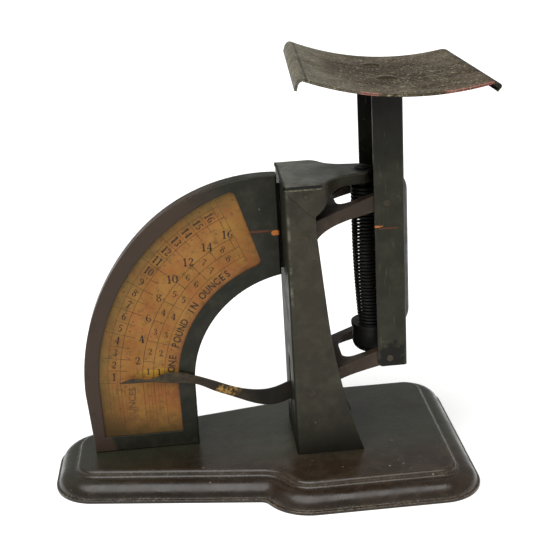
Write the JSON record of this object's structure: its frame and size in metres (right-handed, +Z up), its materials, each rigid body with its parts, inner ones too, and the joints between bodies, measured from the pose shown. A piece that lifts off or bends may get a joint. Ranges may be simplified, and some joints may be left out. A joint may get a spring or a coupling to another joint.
{
  "type": "letter scale",
  "caption": "Spring letter scale: moulded sheet-steel base, arched dial with a pointer, and a dished letter plate on a column guided by parallel links.",
  "frame": {"origin": "on the table, under the middle of the whole scale's outline in plan", "axes": "+Z up; +X from the dial towards the letter plate; +Y to the rear, so the dial faces -Y"},
  "size_m": [0.191, 0.1134, 0.1807],
  "materials": {
    "japan_base": "worn semi-gloss japan",
    "japan_post": "worn semi-gloss japan",
    "japan_case": "worn semi-gloss japan",
    "japan_links": "worn semi-gloss japan",
    "worn_plate": "paint worn through to dull grey-brown metal",
    "printed_card": "aged printed card",
    "raw_steel": "dulled plain steel",
    "black_steel": "blackened steel"
  },
  "bodies": {
    "stand": {"base_shell": "japan_base", "post_shell": "japan_post", "post_foot_screws": "raw_steel", "post_foot_nuts": "raw_steel", "post_cap_arm": "japan_post", "cap_rivets": "japan_post", "dial_bezel": "japan_case", "dial_card": "printed_card", "card_backer": "raw_steel", "dial_back_cover": "japan_case", "lower_fulcrum_rod": "raw_steel", "upper_fulcrum_rod": "raw_steel"},
    "lower_lever": {"lower_yoke": "japan_links", "pointer": "japan_links", "pointer_rivets": "raw_steel"},
    "upper_link": {"upper_yoke": "japan_links"},
    "column": {"column_channel": "japan_case", "platform": "worn_plate", "column_lower_pins": "raw_steel", "column_upper_pins": "raw_steel", "lower_spring_cup": "black_steel"},
    "spring": {"main_spring": "black_steel"},
    "zero_screw": {"zero_adjust_screw": "raw_steel", "zero_screw_collar": "black_steel"},
    "spring_plug": {"upper_spring_plug": "black_steel"}
  },
  "joints": [
    {"name": "lever_turn", "type": "hinge", "parent": "stand", "child": "lower_lever", "pos_m": [0.0191, 0.00232, 0.039], "axis": [0, 1, 0], "range_deg": [0, 63.1], "stiffness_Nm_per_rad": 0.097, "springref_deg": -34.38},
    {"name": "column_swing", "type": "hinge", "parent": "lower_lever", "child": "column", "pos_m": [0.054, 0.00232, 0.052], "axis": [0, 1, 0], "range_deg": [-63.1, 0]},
    {"name": "upper_link_turn", "type": "hinge", "parent": "stand", "child": "upper_link", "pos_m": [0.0191, 0.00232, 0.1085], "axis": [0, 1, 0], "range_deg": [0, 63.1]},
    {"name": "spring_stretch", "type": "slide", "parent": "stand", "child": "spring", "axis": [-0.1929, 0, -0.9812], "range_m": [0, 0.03897], "deforming": ["main_spring"]},
    {"name": "zero_screw_turn", "type": "hinge", "parent": "stand", "child": "zero_screw", "pos_m": [0.0471, 0.00232, 0.13], "axis": [0, 0, 1], "range_deg": [-180, 180]},
    {"name": "spring_plug_travel", "type": "slide", "parent": "stand", "child": "spring_plug", "axis": [0, 0, 1], "range_m": [-0.00035, 0.00035]}
  ],
  "couplings": [
    {"joint": "column_swing", "follows": "lever_turn", "ratio": -1},
    {"joint": "upper_link_turn", "follows": "lever_turn", "ratio": 1},
    {"joint": "spring_stretch", "follows": "lever_turn", "m_per_rad": 0.035389},
    {"joint": "zero_screw_turn", "follows": "spring_plug_travel", "rad_per_m": -8975.9}
  ]
}
